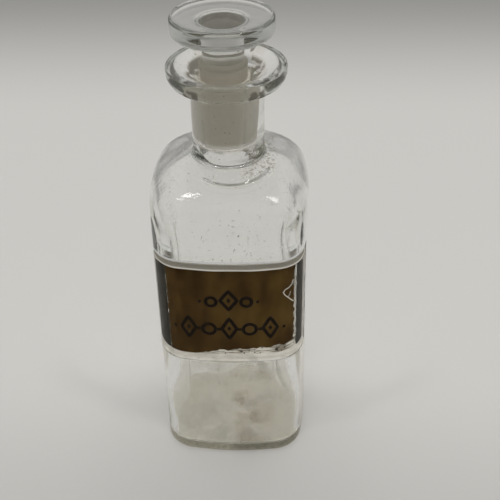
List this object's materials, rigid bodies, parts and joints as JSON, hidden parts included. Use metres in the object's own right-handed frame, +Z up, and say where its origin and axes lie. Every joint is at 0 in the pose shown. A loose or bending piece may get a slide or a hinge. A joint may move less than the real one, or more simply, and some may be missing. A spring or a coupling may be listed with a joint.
{
  "type": "pharmacy bottle",
  "caption": "Square clear-glass pharmacy bottle with rounded shoulder, flared lip, ground disc-headed stopper and a dark label under glass.",
  "frame": {"origin": "centre of the base's standing ring, on the surface it stands on", "axes": "+Z up along the bottle, front face with the label towards -Y, +X to the right of a person facing the label"},
  "size_m": [0.0616, 0.0616, 0.1882],
  "materials": {
    "bottle_glass": "clear, slightly green, wavy, with seeds, scratches and a brown film inside",
    "stopper_glass": "clear polished head and shank, matt ground plug",
    "cover_glass": "clear, slightly wavy, chipped at one end",
    "label_foil": "tarnished dark brown foil and paint, torn along the lower edge",
    "cement": "aged pale putty"
  },
  "bodies": {
    "bottle_body": {"bottle": "bottle_glass", "label_glass": "cover_glass", "label": "label_foil", "label_cement": "cement"},
    "stopper_body": {"stopper": "stopper_glass"}
  },
  "joints": [
    {"name": "stopper_lift", "type": "slide", "parent": "bottle_body", "child": "stopper_body", "axis": [0, 0, 1], "range_m": [0, 0.06]}
  ]
}
